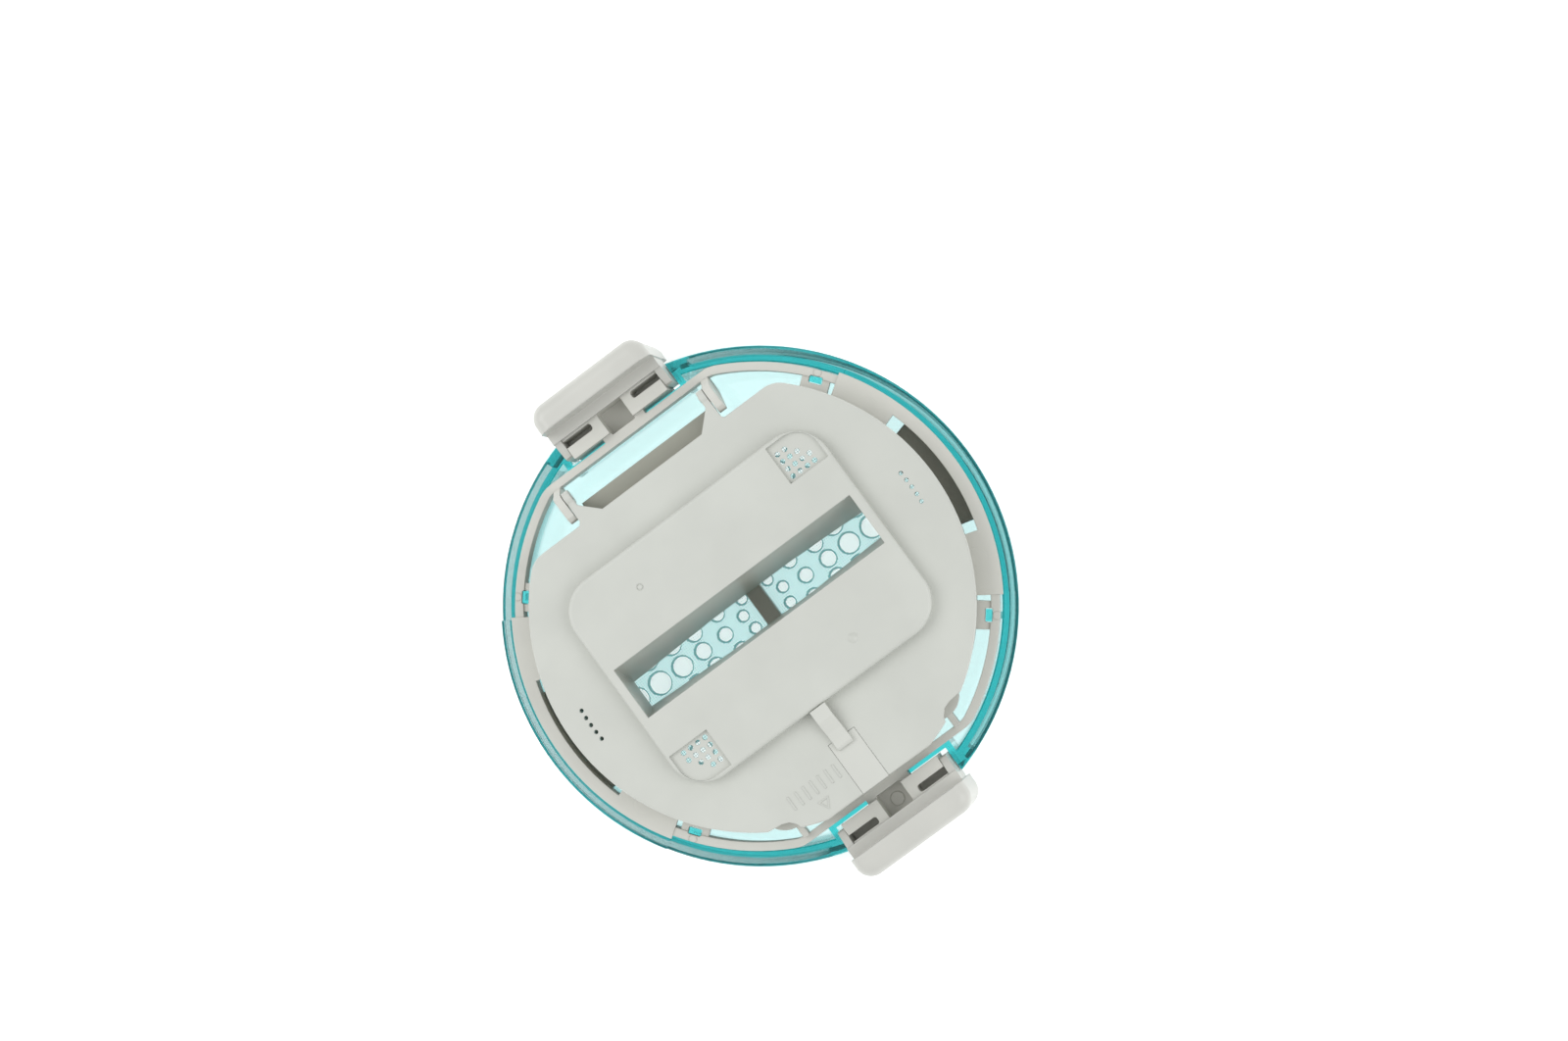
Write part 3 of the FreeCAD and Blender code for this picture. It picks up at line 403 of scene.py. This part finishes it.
cloth_wire, t = new_material("screen_cloth")
tone = t.add("TexNoise", None, {"Vector": t.add("TexCoord", out=3), "Scale": 400.0}).above(0.3, 0.7)
strand_face = t.add("BsdfPrincipled", None, {
    "Base Color": tone.between((0.6, 0.82, 0.82, 1), (0.75, 0.9, 0.89, 1)), "Roughness": 0.3 + 0.15 * tone})
strand_glow = t.add("BsdfTranslucent", None, {"Color": (0.62, 0.85, 0.84, 1)})
strand_clear = t.add("BsdfTransparent", None, {"Color": (0.93, 1.0, 1.0, 1)})
lit = t.add("MixShader", None, {0: 0.35, 1: strand_glow, 2: strand_face})
close(t, t.add("MixShader", None, {0: 0.6, 1: lit, 2: strand_clear}))
threads_across = 183
cloth_pitch = 1.1 * MM
thread_radius = 0.12 * MM
thread_wave = 0.1 * MM
cloth_edge = 96.8 * MM
for side, sign in (("left", -1.0), ("right", 1.0)):
    low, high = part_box("filter_screen_" + side)
    screen = weave.cast("woven_screen_" + side, {
        "Count": threads_across, "Pitch": cloth_pitch, "Wire Radius": thread_radius, "Wave": thread_wave,
        "Side": sign, "Edge Radius": cloth_edge, "Bar Edge": min(abs(low.x), abs(high.x)),
        "Hinge Edge": high.y, "Catch Edge": low.y, "Height": (low.z + high.z) / 2,
        "Material": cloth_wire})
    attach(screen, "canister")
    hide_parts("filter_screen_" + side)

# ------------------------------------------------------------------ door plate
# The hinged inlet door with its raised centre, moulded in the same light grey plastic as the
# frame, with a fine satin face. It swings on two pins between the frame's posts.
dress("door_plate", satin_plastic("grey_door", (0.625, 0.635, 0.59)))

# ------------------------------------------------------------------ inlet duct
# The tapering duct that leads debris from the slot down to the screens, moulded in light grey
# plastic and pressed into the back of the raised centre.
dress("inlet_duct", satin_plastic("grey_duct", (0.55, 0.56, 0.51)))

# ------------------------------------------------------------------ door catch
# The small sliding finger that keeps the door shut, moulded in a smoother, glossier grey plastic
# and slid into its way in the door from the rim.
dress("door_catch", satin_plastic("grey_catch", (0.66, 0.665, 0.62), 0.3))

# ------------------------------------------------------------------ hinge and latch pins
# Ground stainless steel rod. The hinge pins are held in the frame's posts and the latch pins in
# its blocks; fine grinding lines run round each one.
steel, t = new_material("pin_steel")
round_the_pin = (9000.0, 60.0, 60.0)
lines = t.add("VectorMath", {"operation": "MULTIPLY"}, {0: t.add("TexCoord", out=3), 1: round_the_pin})
scratch = t.add("TexNoise", None, {"Vector": lines, "Scale": 1.0})
close(t, t.add("BsdfPrincipled", None, {"Base Color": (0.6, 0.6, 0.59, 1), "Metallic": 1.0,
                                       "Roughness": 0.18 + 0.2 * scratch}))
for name in ("hinge_pin_left", "hinge_pin_right", "latch_pin_hinge_side", "latch_pin_catch_side"):
    dress(name, steel)

# ------------------------------------------------------------------ latch levers
# Two hollow thumb caps with ears, moulded in smooth light grey plastic. Each turns on a pin through
# its latch block and carries the claw that holds the canister in the cleaner.
for side in ("hinge_side", "catch_side"):
    dress("latch_lever_" + side, satin_plastic("grey_lever_" + side, (0.62, 0.615, 0.575), 0.33))

# ------------------------------------------------------------------ latch springs
# Coiled from drawn spring wire, slightly darker than the pins, and held between the seat in the
# latch block and the inside of the thumb cap.
wire, t = new_material("spring_steel")
drawn = t.add("TexNoise", None, {"Vector": t.add("TexCoord", out=3), "Scale": 2500.0, "Detail": 3.0})
grey = drawn.between((0.40, 0.40, 0.41, 1), (0.55, 0.55, 0.55, 1))
close(t, t.add("BsdfPrincipled", None, {"Base Color": grey, "Metallic": 1.0,
                                       "Roughness": 0.28 + 0.2 * drawn}))
coil = Recipe("wire_coil", {"Steps Per Turn": "Int", "Turns": "Float", "Coil Radius": "Float",
                            "Wire Radius": "Float", "Length": "Float", "Seat": "Vector", "Lay": "Vector",
                            "Material": "Material"})
line = coil.step("GeometryNodeCurveSpiral", None, {
    "Resolution": coil.given["Steps Per Turn"], "Rotations": coil.given["Turns"],
    "Start Radius": coil.given["Coil Radius"], "End Radius": coil.given["Coil Radius"],
    "Height": coil.given["Length"]})
section = coil.step("GeometryNodeCurvePrimitiveCircle", None,
                    {"Resolution": 12, "Radius": coil.given["Wire Radius"]})
tube = coil.step("GeometryNodeCurveToMesh", None,
                 {"Curve": line, "Profile Curve": section, "Fill Caps": True})
coil.end(coil.step("GeometryNodeTransform", None, {"Geometry": tube, "Translation": coil.given["Seat"],
                                                  "Rotation": coil.given["Lay"]}))
wire_radius = 0.45 * MM
steps_per_turn = 32
turns = 5.5
for side, sign in (("hinge_side", 1.0), ("catch_side", -1.0)):
    low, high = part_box("latch_spring_" + side)
    middle_z = (low.z + high.z) / 2
    inner_end = (low.y if sign > 0 else high.y) + sign * wire_radius
    outer_end = (high.y if sign > 0 else low.y) - sign * wire_radius
    spring = coil.cast("coil_spring_" + side, {
        "Steps Per Turn": steps_per_turn, "Turns": turns,
        "Coil Radius": (high.x - low.x) / 2 - wire_radius,
        "Wire Radius": wire_radius, "Length": abs(outer_end - inner_end),
        "Seat": (0.0, inner_end, middle_z), "Lay": (-sign * math.pi / 2, 0.0, 0.0), "Material": wire})
    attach(spring, side + "_latch")
    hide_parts("latch_spring_" + side)
    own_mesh(spring)
